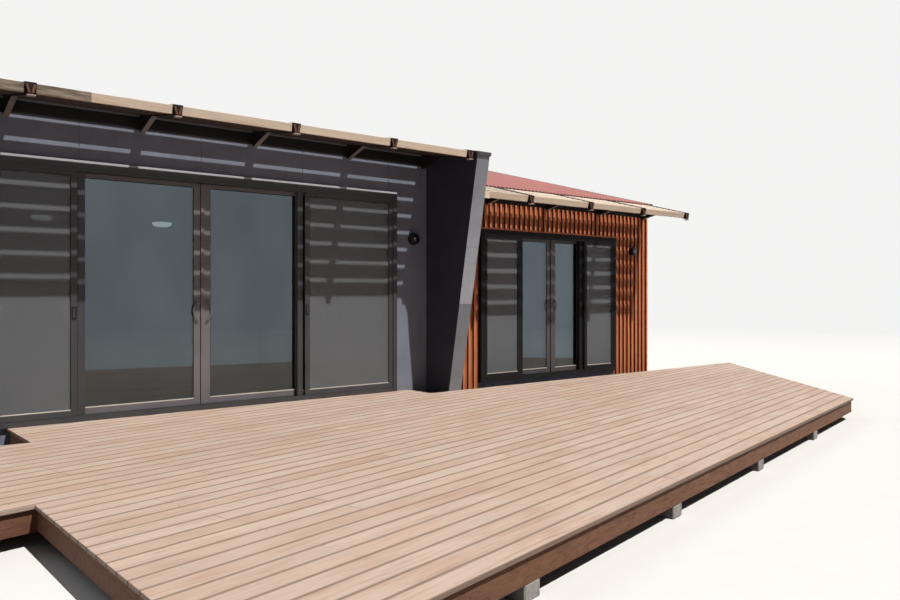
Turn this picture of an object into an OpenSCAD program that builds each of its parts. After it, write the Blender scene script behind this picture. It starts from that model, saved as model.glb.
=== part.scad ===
// Two-module cabin: a dark panelled module with raked end walls, a lower timber-battened
// module beside it, slatted eaves on tapered steel arms, sliding doors and a skewed deck.
// The building frame has x = 0 at the middle of the main door, y = 0 on the front wall
// face (the back is +y) and z = 0 on the floor and the deck. The last module moves it so
// that the origin lies under the middle of the whole, on the ground.

/* [Main module] */
// Clear width between the two raked end walls
main_w = 6100; // [5600:10:7400]
// Depth from the front wall face to the back wall face
main_d = 4880; // [3900:10:6400]
// Height of the roof's top face above the floor, at the front wall
main_roof_h = 3117; // [3000:1:3500]
// Pitch of the roof and its eave, in degrees
main_pitch = 9.2; // [5:0.1:14]

/* [Side module] */
// Width from the main end wall to the outer face of the side module
side_w = 4575; // [3900:5:5400]
// Depth from the front face of the battens to the back wall face
side_d = 3800; // [3000:10:4800]
// Height of the roof's top face above the floor, at the front
side_roof_h = 2738; // [2650:1:2950]
// Pitch of the roof and its eave, in degrees
side_pitch = 14.5; // [8:0.1:18]

/* [Walls and floor] */
// Thickness of the outer walls
wall_t = 150; // [120:5:220]
// Height of the floor and the deck above the ground
ground_h = 250; // [190:5:400]
// Width of the cladding panels of the main module
panel_w = 1220; // [600:10:1500]
// Width and depth of the joint between two cladding panels
panel_joint = 6; // [3:1:12]

/* [Raked end walls] */
// Thickness of a raked end wall
fin_t = 200; // [140:5:240]
// How far its front edge stands forward at floor level
fin_foot = 458; // [250:2:600]
// Lean of its front edge from upright, in degrees
fin_rake = 10.5; // [4:0.1:14]
// Thickness of the cap on its top edge
fin_cap_t = 8; // [4:1:20]
// How far the cap and its edge trim stand out at each side
fin_cap_lip = 14; // [4:1:25]

/* [Roofs] */
// Thickness of the insulated roof panels
roof_t = 150; // [100:5:220]
// Thickness of the roof sheets
sheet_t = 24; // [12:1:40]
// How far the side module's sheet laps over its eave
side_lap = 100; // [60:5:150]
// How far the roofs run past the back walls
roof_back = 80; // [40:5:200]

/* [Slatted eaves] */
// Reach of the eaves in front of the wall
eave_reach = 950; // [700:10:1050]
// How far the side module's eave reaches out from its wall
side_eave_reach = 875; // [700:5:1050]
// Width of a slat
slat_w = 60; // [25:1:70]
// Height of a slat
slat_h = 84; // [50:1:100]
// Spacing of the slats
slat_pitch = 108; // [90:1:160]
// Width of an arm along its top edge
arm_w = 90; // [60:1:110]
// Width of an arm along its bottom edge
arm_foot_w = 46; // [24:1:60]
// How far an arm stands above and below the slats
arm_rim = 8; // [2:1:12]
// Depth of an arm's upright shoulders, against the ends of the slats
arm_shoulder = 20; // [10:1:40]
// Depth of the gusset under an arm at the wall
gusset_h = 170; // [100:5:240]
// Length of the gusset along the arm
gusset_l = 340; // [200:10:500]
// Spacing of the main module's arms
main_arm_pitch = 1232; // [1100:2:1400]
// Spacing of the side module's arms
side_arm_pitch = 1208; // [1050:10:1300]
// Width of the side module's last eave bay, at its outer end
side_last_bay = 1130; // [800:5:1300]
// Distance of the last arm from the side module's corner
side_arm_end = 105; // [0:5:200]

/* [Battens] */
// Width of a batten
batten_w = 50; // [35:1:65]
// Depth of a batten
batten_t = 40; // [25:1:60]
// Spacing of the battens
batten_pitch = 100; // [90:0.5:140]
// Height of the battens' lower ends above the ground
batten_foot = 70; // [20:5:150]
// Height of the board that carries the side eave, over the battens
ledger_h = 60; // [50:5:150]

/* [Doors] */
// Width of the main door's frame
main_door_w = 5110; // [4400:10:5400]
// Height of the main door's frame
main_door_h = 2490; // [2200:10:2600]
// Width of the side door's frame
side_door_w = 2960; // [2500:10:3300]
// Height of the side door's frame
side_door_h = 2130; // [1950:10:2200]
// Distance of the side door's middle from the main end wall
side_door_x = 2220; // [2100:5:2400]
// Thickness of the jambs and head of a door frame
jamb_t = 60; // [45:1:90]
// Thickness of the sill of a door frame
sill_t = 40; // [25:1:60]
// Width of a leaf's stiles
stile_w = 70; // [50:1:90]
// Height of a leaf's rails
rail_h = 60; // [45:1:90]
// Thickness of a leaf's frame
leaf_t = 40; // [30:1:50]
// Thickness of the double glazing
glass_t = 24; // [12:1:28]
// Width of a screen's frame bars
screen_bar = 60; // [30:1:80]
// Thickness of a screen's frame
screen_t = 20; // [14:1:24]
// Thickness of a screen's mesh panel
mesh_t = 2; // [1:0.5:4]
// Where the two sliding leaves meet, to the right of the door's middle
meet_x = 20; // [0:1:40]
// Width of the raised lip on the right leaf's meeting stile
lip_w = 36; // [20:1:50]
// How far the raised lip stands proud
lip_t = 13; // [5:1:15]

/* [Handles and lights] */
// Height of the pull handles above the floor
pull_z = 1045; // [850:5:1200]
// Length of a pull handle
pull_l = 210; // [150:5:300]
// How far a pull handle bows out over the glass
pull_bow = 50; // [35:1:70]
// Diameter of the bar of a pull handle
pull_bar = 12; // [8:1:16]
// Length of the small grip on a screen
grip_l = 110; // [60:5:160]
// Distance of a pull handle from the edge of its stile
pull_inset = 28; // [15:1:40]
// Diameter of the round wall lights
light_d = 140; // [100:5:180]
// How far the wall lights stand out
light_out = 75; // [50:5:110]
// Diameter of the plate behind a wall light
light_plate_d = 160; // [120:5:200]
// Thickness of the plate behind a wall light
light_plate_t = 15; // [5:1:25]
// Height of the wall lights above the floor
light_z = 1932; // [1700:5:2100]
// Place of a main light, as a share of the way from the door to the end wall
main_light_share = 0.55; // [0.3:0.01:0.7]

/* [Deck] */
// Angle of the deck boards to the front wall, in degrees
deck_skew = 12; // [0:0.5:20]
// Thickness of the deck boards
board_t = 25; // [20:1:40]
// Left edge of the deck in front of the door
deck_left_x = -2300; // [-2600:10:-1950]
// Front left corner of the deck, in front of the wall face
deck_front_y = -5870; // [-6600:10:-5000]
// Front right corner of the deck
deck_corner_x = 6256; // [5600:10:7000]
// Angle of the deck's right edge to the wall, in degrees
deck_end_angle = 47; // [40:1:60]
// Front edge of the narrow walk at the left, where it meets the deck
walk_front_y = -3083; // [-3600:10:-2400]
// Distance of the deck from the wall beside the left planting bed
bed_y = -900; // [-1000:10:-700]
// Right end of the left planting bed
bed_x = -1840; // [-2100:10:-1500]
// Left end of the right planting bed
back_x = 2750; // [2620:10:2950]
// Height of the deck's rim and joists
joist_h = 140; // [90:5:160]
// Thickness of the deck's rim and joists
joist_t = 38; // [30:1:60]
// Spacing of the joists
joist_pitch = 600; // [400:10:800]
// How far the boards run past the rim
deck_nose = 20; // [10:1:50]
// Side of a deck pier
pier_w = 140; // [90:5:220]
// Spacing of the deck piers across the boards
pier_pitch = 1500; // [1200:50:2600]
// Spacing of the deck piers along the boards, in joist bays
pier_bays = 3; // [2:1:4]

/* [Hidden] */
$fn = 48;
seat = 0.3;
run_gap = 5;
edge_gap = 6;
strip_t = 4;
strip_h = 25;
rail_rise = 12;

charcoal = "#35343a";
frame_grey = "#4c4a4b";
cedar = "#a5482a";
slat_tan = "#c9a98a";
rust = "#3d2620";
roof_red = "#b5665c";
deck_tan = "#a98c76";
glass_tint = "#26323a";
lamp_black = "#161618";
pier_grey = "#77706a";

// Edges and depths that follow from the driving sizes
main_half = main_w / 2;
fin_x = main_half + fin_t;
side_x = fin_x + side_w;
side_core_y = batten_t;
side_core_x = side_x - batten_t;
side_door_mid = fin_x + side_door_x;
side_roof_x = fin_x + fin_cap_lip + run_gap;
main_jamb = main_door_w / 2;
side_left_jamb = side_door_mid - side_door_w / 2;
side_right_jamb = side_door_mid + side_door_w / 2;

// Depths of the door tracks, from the front lip to the back lip
frame_front = -screen_t - 2 * run_gap - strip_t;
screen_y = -screen_t - run_gap;
fixed_y = strip_t + run_gap;
divider_y = fixed_y + leaf_t + 2 * run_gap;
leaf_y = divider_y + strip_t + run_gap;
frame_back = leaf_y + leaf_t + run_gap + strip_t;
leaf_z = sill_t + rail_rise + seat;

function top_z(h, pitch, y) = h + y * tan(pitch);
function under_z(h, pitch, y) = top_z(h, pitch, y) - sheet_t - roof_t;
function rake_y(z) = -fin_foot - z * tan(fin_rake);

// Extrusion along x of an outline given as [y, z] points
module along_x(x0, x1, outline) {
    translate([x0, 0, 0])
        rotate([90, 0, 90])
            linear_extrude(x1 - x0)
                polygon(outline);
}

// Box from its two corners
module block(low, high) {
    translate(low)
        cube(high - low);
}

// Upright wall from y0 to y1 whose top is bedded just under a roof
module wall_under_roof(x0, x1, y0, y1, z0, h, pitch) {
    along_x(x0, x1, [[y0, z0], [y1, z0],
        [y1, under_z(h, pitch, y1) - seat], [y0, under_z(h, pitch, y0) - seat]]);
}

// Layer that follows a roof plane, from depth d0 to depth d1 below its top face
module roof_layer(x0, x1, y0, y1, h, pitch, d0, d1) {
    along_x(x0, x1, [
        [y0, top_z(h, pitch, y0) - d1], [y1, top_z(h, pitch, y1) - d1],
        [y1, top_z(h, pitch, y1) - d0], [y0, top_z(h, pitch, y0) - d0]]);
}

// Upright joints between the cladding panels, cut into the front or the back face
module panel_joints(y) {
    each_side = floor(main_half / panel_w);
    for (i = [-each_side : each_side])
        block([i * panel_w - panel_joint / 2, y - panel_joint, -ground_h],
            [i * panel_w + panel_joint / 2, y + panel_joint, 2 * main_roof_h]);
}

module main_floor() {
    color(charcoal)
        block([-main_half, 0, -ground_h], [main_half, main_d, 0]);
}

module main_front_wall(x0, x1, z0) {
    color(charcoal)
        difference() {
            wall_under_roof(x0, x1, 0, wall_t, z0, main_roof_h, main_pitch);
            panel_joints(0);
        }
}

module main_back_wall() {
    color(charcoal)
        difference() {
            wall_under_roof(-main_half, main_half, main_d - wall_t, main_d, 0, main_roof_h, main_pitch);
            panel_joints(main_d);
        }
}

// Outline of a raked end wall, from the ground to the roof's top face
function fin_outline() =
    let (t = tan(main_pitch), r = tan(fin_rake))
    let (tip_z = (main_roof_h - fin_foot * t) / (1 + r * t))
    let (back = main_d + roof_back)
    [[rake_y(-ground_h), -ground_h], [back, -ground_h],
        [back, top_z(main_roof_h, main_pitch, back)], [rake_y(tip_z), tip_z]];

module end_wall(x0) {
    color(charcoal)
        along_x(x0, x0 + fin_t, fin_outline());
}

module main_end_wall_caps() {
    o = fin_outline();
    color(charcoal)
        for (x0 = [-fin_x, main_half])
            roof_layer(x0 - fin_cap_lip, x0 + fin_t + fin_cap_lip, o[3][0] - fin_cap_lip,
                o[2][0] + fin_cap_lip, main_roof_h, main_pitch, -fin_cap_t - seat, -seat);
}

module main_roof_panel() {
    color(charcoal)
        roof_layer(-main_half, main_half, 0, main_d + roof_back, main_roof_h, main_pitch,
            sheet_t, sheet_t + roof_t);
}

module main_roof_sheet() {
    color(roof_red)
        roof_layer(-main_half, main_half, 0, main_d + roof_back, main_roof_h, main_pitch, 0, sheet_t);
}

// One eave arm: tapered in section below a shoulder, with a gusset that deepens towards the wall.
module arm(x, h, pitch, lap, reach) {
    deep = slat_h / cos(pitch) + arm_rim;
    shoulder = -arm_rim - arm_shoulder;
    taper = -slat_h - 2 * arm_rim;
    low = -2 * (slat_h + gusset_h);
    intersection() {
        along_x(x - arm_w / 2, x + arm_w / 2, [
            [-reach, top_z(h, pitch, -reach) + arm_rim],
            [-reach, top_z(h, pitch, -reach) - deep],
            [-gusset_l, top_z(h, pitch, -gusset_l) - deep],
            [0, h - deep - gusset_h],
            each arm_top_end(h, pitch, lap)]);
        translate([x, 0, h + arm_rim])
            rotate([90 + pitch, 0, 0])
                translate([0, 0, -reach])
                    linear_extrude(3 * reach)
                        polygon([[arm_w / 2, arm_w], [-arm_w / 2, arm_w], [-arm_w / 2, shoulder],
                            [-arm_foot_w / 2, taper], [-arm_foot_w / 2, low],
                            [arm_foot_w / 2, low], [arm_foot_w / 2, taper], [arm_w / 2, shoulder]]);
    }
}

// Top of an arm at the wall, cut down by a sheet's thickness where the sheet laps over it
function arm_top_end(h, pitch, lap) =
    let (y = -lap - run_gap, under = sheet_t + seat)
    lap > 0
        ? [[0, h - under], [y, top_z(h, pitch, y) - under], [y, top_z(h, pitch, y) + arm_rim]]
        : [[0, h + arm_rim]];

// Slats of one bay between two arms, square to the slope, as far as the roof sheet's lap
module slats(x0, x1, h, pitch, lap, reach) {
    first = slat_h * tan(pitch) - reach / cos(pitch);
    last = floor((-first - slat_w - lap / cos(pitch)) / slat_pitch);
    for (i = [0 : last])
        translate([x0, 0, h])
            rotate([pitch, 0, 0])
                translate([0, first + i * slat_pitch, -slat_h])
                    cube([x1 - x0, slat_w, slat_h]);
}

end_arm_gap = fin_cap_lip + run_gap;
main_arm_x = concat(
    [end_arm_gap + arm_w / 2 - main_half],
    [for (i = [-1.5 : 1 : 1.5]) i * main_arm_pitch],
    [main_half - arm_w / 2 - end_arm_gap]);

side_arm_last = side_x - side_arm_end - arm_w / 2;
side_arm_x = [fin_x + arm_w / 2 + end_arm_gap,
    side_arm_last - side_last_bay - 2 * side_arm_pitch,
    side_arm_last - side_last_bay - side_arm_pitch,
    side_arm_last - side_last_bay,
    side_arm_last];

module eave_arms(xs, h, pitch, lap, reach) {
    color(rust)
        for (x = xs)
            arm(x, h, pitch, lap, reach);
}

module eave_slats(xs, h, pitch, lap, reach) {
    color(slat_tan)
        for (i = [0 : len(xs) - 2])
            slats(xs[i] + arm_w / 2, xs[i + 1] - arm_w / 2, h, pitch, lap, reach);
}

// Half of a door's clear width, and how far a fixed or a sliding leaf reaches from the middle
function half_clear(w) = w / 2 - jamb_t;
function leaf_reach(w) = (half_clear(w) - stile_w / 2) / 2;

// Draws its children for the left half (side -1) or the right half (side 1) of a door
module half_of(mid, side) {
    translate([mid, 0, 0])
        mirror([side < 0 ? 1 : 0, 0, 0])
            children();
}

// Ring of bars between two corners in x and z, with the stile nearest the middle of its own width
module bar_ring(x0, x1, z0, z1, y, t, inner, outer, rail) {
    difference() {
        block([x0, y, z0], [x1, y + t, z1]);
        block([x0 + inner, y - t, z0 + rail], [x1 - outer, y + 2 * t, z1 - rail]);
    }
}

// A door's jambs, head and sill, with the bars of its two fixed leaves
module door_frame(mid, w, h) {
    c = half_clear(w);
    color(frame_grey) {
        difference() {
            block([mid - w / 2, frame_front, 0], [mid + w / 2, frame_back, h]);
            block([mid - c, 2 * frame_front, sill_t], [mid + c, 2 * frame_back, h - jamb_t]);
        }
        for (side = [-1, 1])
            half_of(mid, side)
                bar_ring(leaf_reach(w) - stile_w, c, sill_t, h - jamb_t, fixed_y, leaf_t,
                    stile_w, stile_w, rail_h);
    }
}

// Strips that divide the head and the sill into tracks, and the two running rails
module door_tracks(mid, w, h) {
    c = half_clear(w);
    head_z = h - jamb_t;
    color(frame_grey) {
        for (y = [frame_front, 0, divider_y, frame_back - strip_t]) {
            block([mid - c, y, head_z - strip_h], [mid + c, y + strip_t, head_z]);
            block([mid - c, y, sill_t], [mid + c, y + strip_t, sill_t + rail_rise]);
        }
        for (y = [screen_y + screen_t / 2, leaf_y + leaf_t / 2])
            block([mid - c, y - strip_t / 2, sill_t], [mid + c, y + strip_t / 2, sill_t + rail_rise]);
    }
}

module fixed_glass(mid, w, h) {
    y = fixed_y + (leaf_t - glass_t) / 2;
    color(glass_tint)
        for (side = [-1, 1])
            half_of(mid, side)
                block([leaf_reach(w), y, sill_t + rail_h],
                    [half_clear(w) - stile_w, y + glass_t, h - jamb_t - rail_h]);
}

// Top of a sliding leaf or screen, and where a sliding leaf starts, seen from the middle
function slide_top(h) = h - jamb_t - run_gap;
function leaf_start(side) = side * meet_x + run_gap / 2;
function meet_stile(side) = side > 0 ? stile_w + lip_w : stile_w;

// Bars of a sliding leaf with its pull; the right leaf has a raised lip where the two meet
module sliding_frame(mid, w, h, side) {
    x0 = leaf_start(side);
    lip = side > 0 ? lip_w : 0;
    z1 = slide_top(h);
    color(frame_grey)
        half_of(mid, side) {
            bar_ring(x0, leaf_reach(w), leaf_z, z1, leaf_y, leaf_t, meet_stile(side), stile_w, rail_h);
            pull_handle(x0 + lip + pull_inset);
            if (side > 0)
                block([x0, leaf_y - lip_t, leaf_z], [x0 + lip_w, leaf_y, z1 - strip_h - run_gap]);
        }
}

module sliding_glass(mid, w, h, side) {
    y = leaf_y + (leaf_t - glass_t) / 2;
    color(glass_tint)
        half_of(mid, side)
            block([leaf_start(side) + meet_stile(side), y, leaf_z + rail_h],
                [leaf_reach(w) - stile_w, y + glass_t, slide_top(h) - rail_h]);
}

// Bowed pull: an arc of round bar standing off the stile on two posts
module pull_handle(x) {
    half = pull_l / 2;
    r = (half * half + pull_bow * pull_bow) / (2 * pull_bow);
    stand = pull_bar * 1.5;
    translate([x, leaf_y - stand, pull_z]) {
        intersection() {
            translate([pull_bow - r, 0, 0])
                rotate([90, 0, 0])
                    rotate_extrude()
                        translate([r, 0])
                            circle(d = pull_bar, $fn = 24);
            block([0, -pull_bar, -half], [pull_bow + pull_bar, pull_bar, half]);
        }
        for (z = [pull_bar - half, half - pull_bar])
            translate([pull_bar / 2, 0, z])
                rotate([-90, 0, 0])
                    cylinder(d = pull_bar, h = stand, $fn = 24);
    }
}

// An insect screen: bars round a mesh panel, parked in front of a fixed leaf, with a small grip
module screen(mid, w, h, side) {
    x0 = leaf_reach(w) + 2 * run_gap;
    x1 = half_clear(w) - run_gap;
    z1 = slide_top(h);
    mesh_y = screen_y + (screen_t - mesh_t) / 2;
    grip_w = screen_bar / 3;
    grip_x = x0 + grip_w;
    color(frame_grey)
        half_of(mid, side) {
            bar_ring(x0, x1, leaf_z, z1, screen_y, screen_t, screen_bar, screen_bar, screen_bar);
            block([x0 + screen_bar, mesh_y, leaf_z + screen_bar],
                [x1 - screen_bar, mesh_y + mesh_t, z1 - screen_bar]);
            block([grip_x, screen_y - run_gap, pull_z], [grip_x + grip_w, screen_y, pull_z + grip_l]);
        }
}

module side_floor() {
    color(charcoal)
        block([fin_x, side_core_y, -ground_h], [side_core_x, side_d, 0]);
}

module side_front_wall(x0, x1, z0) {
    color(charcoal)
        wall_under_roof(x0, x1, side_core_y, side_core_y + wall_t, z0, side_roof_h, side_pitch);
}

module side_back_wall() {
    color(charcoal)
        wall_under_roof(fin_x, side_core_x - wall_t, side_d - wall_t, side_d, 0,
            side_roof_h, side_pitch);
}

module side_end_wall() {
    color(charcoal)
        wall_under_roof(side_core_x - wall_t, side_core_x, side_core_y + wall_t, side_d, 0,
            side_roof_h, side_pitch);
}

ledger_z = under_z(side_roof_h, side_pitch, 0) - ledger_h;
batten_low = batten_foot - ground_h;

// Upright battens on the front face between x0 and x1, spaced from the corner post
module front_battens(x0, x1, z0) {
    corner = side_core_x + (batten_t - batten_w) / 2;
    color(cedar)
        for (i = [ceil((corner + batten_w - x1) / batten_pitch) : floor((corner - x0) / batten_pitch)])
            block([corner - i * batten_pitch, 0, z0],
                [corner - i * batten_pitch + batten_w, batten_t, ledger_z]);
}

module side_battens_end() {
    y0 = side_core_y + batten_pitch;
    count = floor((side_d - y0 - batten_w) / batten_pitch);
    color(cedar)
        for (i = [0 : count])
            wall_under_roof(side_core_x, side_x, y0 + i * batten_pitch, y0 + i * batten_pitch + batten_w,
                batten_low, side_roof_h, side_pitch);
}

// Post that closes the corner between the front and the end battens
module side_corner_board() {
    back = side_core_y + batten_w;
    color(cedar)
        along_x(side_core_x, side_x, [
            [0, batten_low], [back, batten_low],
            [back, under_z(side_roof_h, side_pitch, back)],
            [batten_t, under_z(side_roof_h, side_pitch, batten_t)],
            [batten_t, ledger_z], [0, ledger_z]]);
}

module side_eave_ledger() {
    color(rust)
        block([fin_x, 0, ledger_z], [side_x, batten_t, under_z(side_roof_h, side_pitch, 0)]);
}

module side_roof_panel() {
    color(charcoal)
        roof_layer(side_roof_x, side_x, 0, side_d + roof_back, side_roof_h, side_pitch,
            sheet_t, sheet_t + roof_t);
}

module side_roof_sheet() {
    color(roof_red)
        roof_layer(side_roof_x, side_x, -side_lap, side_d + roof_back, side_roof_h, side_pitch,
            0, sheet_t);
}

// A round wall light on the face at y = 0
module wall_light(x) {
    translate([x, 0, light_z])
        rotate([90, 0, 0]) {
            cylinder(d = light_d, h = light_out);
            cylinder(d = light_plate_d, h = light_plate_t);
        }
}

module wall_lights() {
    beside = main_jamb + main_light_share * (main_half - main_jamb);
    color(lamp_black) {
        wall_light(-beside);
        wall_light(beside);
        wall_light((side_door_mid + side_door_w / 2 + side_x) / 2);
    }
}

// Deck outline, counterclockwise from its front left corner
deck_t = tan(deck_skew);
back_y = -fin_foot - edge_gap;
deck_corner_y = deck_front_y + (deck_corner_x - deck_left_x) * deck_t;
deck_end_x = deck_corner_x + (back_y - deck_corner_y) / tan(deck_end_angle);
deck_points = [
    [deck_left_x, deck_front_y],
    [deck_corner_x, deck_corner_y],
    [deck_end_x, back_y],
    [back_x, back_y],
    [back_x, -edge_gap],
    [bed_x, -edge_gap],
    [bed_x, bed_y],
    [-fin_x, bed_y],
    [-fin_x, walk_front_y + (-fin_x - deck_left_x) * deck_t],
    [deck_left_x, walk_front_y]];
front_left_corner = 0;
walk_outer_corner = 8;
deck_reach = 2 * norm([deck_front_y, deck_corner_x]);
deck_joists = ceil(deck_reach / joist_pitch);

// Corners of an outline moved inwards by a given amount
function unit(v) = v / norm(v);
function edge(p, i) = unit(p[(i + 1) % len(p)] - p[i]);
function cross2(a, b) = a[0] * b[1] - a[1] * b[0];
function inset_corner(p, i, d) =
    let (a = edge(p, (i + len(p) - 1) % len(p)), b = edge(p, i))
    let (pa = p[i] + d * [-a[1], a[0]], pb = p[i] + d * [-b[1], b[0]])
    pa + a * cross2(pb - pa, b) / cross2(a, b);
function inset(p, d) = [for (i = [0 : len(p) - 1]) inset_corner(p, i, d)];

module deck_boards() {
    color(deck_tan)
        translate([0, 0, -board_t])
            linear_extrude(board_t)
                polygon(deck_points);
}

// Rim round the deck, and joists square to the boards
module deck_frame() {
    outer = inset(deck_points, deck_nose);
    inner = inset(deck_points, deck_nose + joist_t);
    color(cedar)
        translate([0, 0, -board_t - joist_h])
            linear_extrude(joist_h) {
                difference() {
                    polygon(outer);
                    polygon(inner);
                }
                intersection() {
                    polygon(outer);
                    rotate(deck_skew)
                        for (i = [-deck_joists : deck_joists])
                            translate([i * joist_pitch, -deck_reach])
                                square([joist_t, 2 * deck_reach]);
                }
            }
}

// Convex part of the deck in front of both modules
deck_core = [deck_points[0], deck_points[1], deck_points[2], [deck_left_x, back_y]];
function room_inside(p, at) = min([for (i = [0 : len(p) - 1]) cross2(edge(p, i), at - p[i])]);

// Rows of piers under every few joists, down to the ground
module deck_piers() {
    front_v = deck_front_y * cos(deck_skew) - deck_left_x * sin(deck_skew) + deck_nose + pier_w / 2;
    columns = ceil(deck_joists / pier_bays);
    rows = ceil(deck_reach / pier_pitch);
    color(pier_grey) {
        for (i = [-columns : columns], j = [0 : rows])
            let (at = turned([i * joist_pitch * pier_bays + joist_t / 2, front_v + j * pier_pitch]))
                if (room_inside(deck_core, at) > pier_w / 2)
                    pier(at);
        for (i = [front_left_corner, walk_outer_corner - 1, walk_outer_corner])
            pier(inset_corner(deck_points, i, deck_nose + pier_w / 2));
    }
}

// A run along and across the boards, turned into the building's frame
function turned(v) =
    [v[0] * cos(deck_skew) - v[1] * sin(deck_skew), v[0] * sin(deck_skew) + v[1] * cos(deck_skew)];

module pier(at) {
    translate([at[0], at[1], -ground_h])
        rotate(deck_skew)
            translate([-pier_w / 2, -pier_w / 2, 0])
                cube([pier_w, pier_w, ground_h - board_t - joist_h]);
}

// Moves the building frame so that the origin lies under its middle, on the ground
low_x = min(-fin_x - fin_cap_lip, deck_points[walk_outer_corner][0]);
high_x = max(side_x, deck_points[2][0]);
low_y = min(deck_front_y, deck_points[1][1]);
high_y = main_d + roof_back + fin_cap_lip;

module placed() {
    translate([-(low_x + high_x) / 2, -(low_y + high_y) / 2, ground_h])
        children();
}

// The sub-parts that share a module above
module main_front_wall_left() main_front_wall(-main_half, -main_jamb, 0);
module main_front_wall_right() main_front_wall(main_jamb, main_half, 0);
module main_front_header() main_front_wall(-main_jamb, main_jamb, main_door_h);
module main_left_end_wall() end_wall(-fin_x);
module main_right_end_wall() end_wall(main_half);
module main_eave_arms() eave_arms(main_arm_x, main_roof_h, main_pitch, 0, eave_reach);
module main_eave_slats() eave_slats(main_arm_x, main_roof_h, main_pitch, 0, eave_reach);
module main_door_frame() door_frame(0, main_door_w, main_door_h);
module main_door_tracks() door_tracks(0, main_door_w, main_door_h);
module main_fixed_glass() fixed_glass(0, main_door_w, main_door_h);
module main_sliding_frame_left() sliding_frame(0, main_door_w, main_door_h, -1);
module main_sliding_glass_left() sliding_glass(0, main_door_w, main_door_h, -1);
module main_sliding_frame_right() sliding_frame(0, main_door_w, main_door_h, 1);
module main_sliding_glass_right() sliding_glass(0, main_door_w, main_door_h, 1);
module main_screen_left() screen(0, main_door_w, main_door_h, -1);
module main_screen_right() screen(0, main_door_w, main_door_h, 1);
module side_front_wall_left() side_front_wall(fin_x, side_left_jamb, 0);
module side_front_wall_right() side_front_wall(side_right_jamb, side_core_x, 0);
module side_front_header() side_front_wall(side_left_jamb, side_right_jamb, side_door_h);
module side_battens_left() front_battens(fin_x, side_left_jamb, batten_low);
module side_battens_right() front_battens(side_right_jamb, side_core_x, batten_low);
module side_battens_header() front_battens(side_left_jamb - batten_w, side_right_jamb + batten_w, side_door_h);
module side_eave_arms() eave_arms(side_arm_x, side_roof_h, side_pitch, side_lap, side_eave_reach);
module side_eave_slats() eave_slats(side_arm_x, side_roof_h, side_pitch, side_lap, side_eave_reach);
module side_door_frame() door_frame(side_door_mid, side_door_w, side_door_h);
module side_door_tracks() door_tracks(side_door_mid, side_door_w, side_door_h);
module side_fixed_glass() fixed_glass(side_door_mid, side_door_w, side_door_h);
module side_sliding_frame_left() sliding_frame(side_door_mid, side_door_w, side_door_h, -1);
module side_sliding_glass_left() sliding_glass(side_door_mid, side_door_w, side_door_h, -1);
module side_sliding_frame_right() sliding_frame(side_door_mid, side_door_w, side_door_h, 1);
module side_sliding_glass_right() sliding_glass(side_door_mid, side_door_w, side_door_h, 1);
module side_screen_left() screen(side_door_mid, side_door_w, side_door_h, -1);
module side_screen_right() screen(side_door_mid, side_door_w, side_door_h, 1);

placed() main_floor();
placed() main_front_wall_left();
placed() main_front_wall_right();
placed() main_front_header();
placed() main_back_wall();
placed() main_left_end_wall();
placed() main_right_end_wall();
placed() main_end_wall_caps();
placed() main_roof_panel();
placed() main_roof_sheet();
placed() main_eave_arms();
placed() main_eave_slats();
placed() main_door_frame();
placed() main_door_tracks();
placed() main_fixed_glass();
placed() main_sliding_frame_left();
placed() main_sliding_glass_left();
placed() main_sliding_frame_right();
placed() main_sliding_glass_right();
placed() main_screen_left();
placed() main_screen_right();
placed() side_floor();
placed() side_front_wall_left();
placed() side_front_wall_right();
placed() side_front_header();
placed() side_back_wall();
placed() side_end_wall();
placed() side_battens_left();
placed() side_battens_right();
placed() side_battens_header();
placed() side_battens_end();
placed() side_corner_board();
placed() side_eave_ledger();
placed() side_roof_panel();
placed() side_roof_sheet();
placed() side_eave_arms();
placed() side_eave_slats();
placed() side_door_frame();
placed() side_door_tracks();
placed() side_fixed_glass();
placed() side_sliding_frame_left();
placed() side_sliding_glass_left();
placed() side_sliding_frame_right();
placed() side_sliding_glass_right();
placed() side_screen_left();
placed() side_screen_right();
placed() wall_lights();
placed() deck_boards();
placed() deck_frame();
placed() deck_piers();
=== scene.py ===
import math
import random

import bmesh
import bpy
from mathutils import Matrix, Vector


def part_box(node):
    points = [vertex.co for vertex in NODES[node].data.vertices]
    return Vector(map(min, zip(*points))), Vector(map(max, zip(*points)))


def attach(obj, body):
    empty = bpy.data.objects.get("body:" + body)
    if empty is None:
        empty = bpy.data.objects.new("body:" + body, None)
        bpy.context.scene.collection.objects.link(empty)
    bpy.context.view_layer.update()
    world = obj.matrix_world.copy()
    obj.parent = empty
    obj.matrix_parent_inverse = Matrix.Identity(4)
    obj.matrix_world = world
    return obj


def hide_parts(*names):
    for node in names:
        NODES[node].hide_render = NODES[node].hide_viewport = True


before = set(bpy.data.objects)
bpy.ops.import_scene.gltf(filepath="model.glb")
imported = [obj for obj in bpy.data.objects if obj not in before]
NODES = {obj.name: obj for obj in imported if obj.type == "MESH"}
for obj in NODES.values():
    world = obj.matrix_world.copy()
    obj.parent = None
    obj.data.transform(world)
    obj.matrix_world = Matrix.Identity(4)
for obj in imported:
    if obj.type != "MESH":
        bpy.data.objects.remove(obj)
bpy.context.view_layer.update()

CABIN = "cabin"

# The building frame: x = 0 at the middle of the main door, y = 0 on the front wall face, z = 0 on the floor
_floor_low, _floor_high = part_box("main_floor")
ORIGIN = Vector(((_floor_low.x + _floor_high.x) / 2, _floor_low.y, _floor_high.z))
MAIN_HALF = (_floor_high.x - _floor_low.x) / 2
MAIN_DEPTH = _floor_high.y - _floor_low.y
GROUND = -ORIGIN.z

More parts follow.
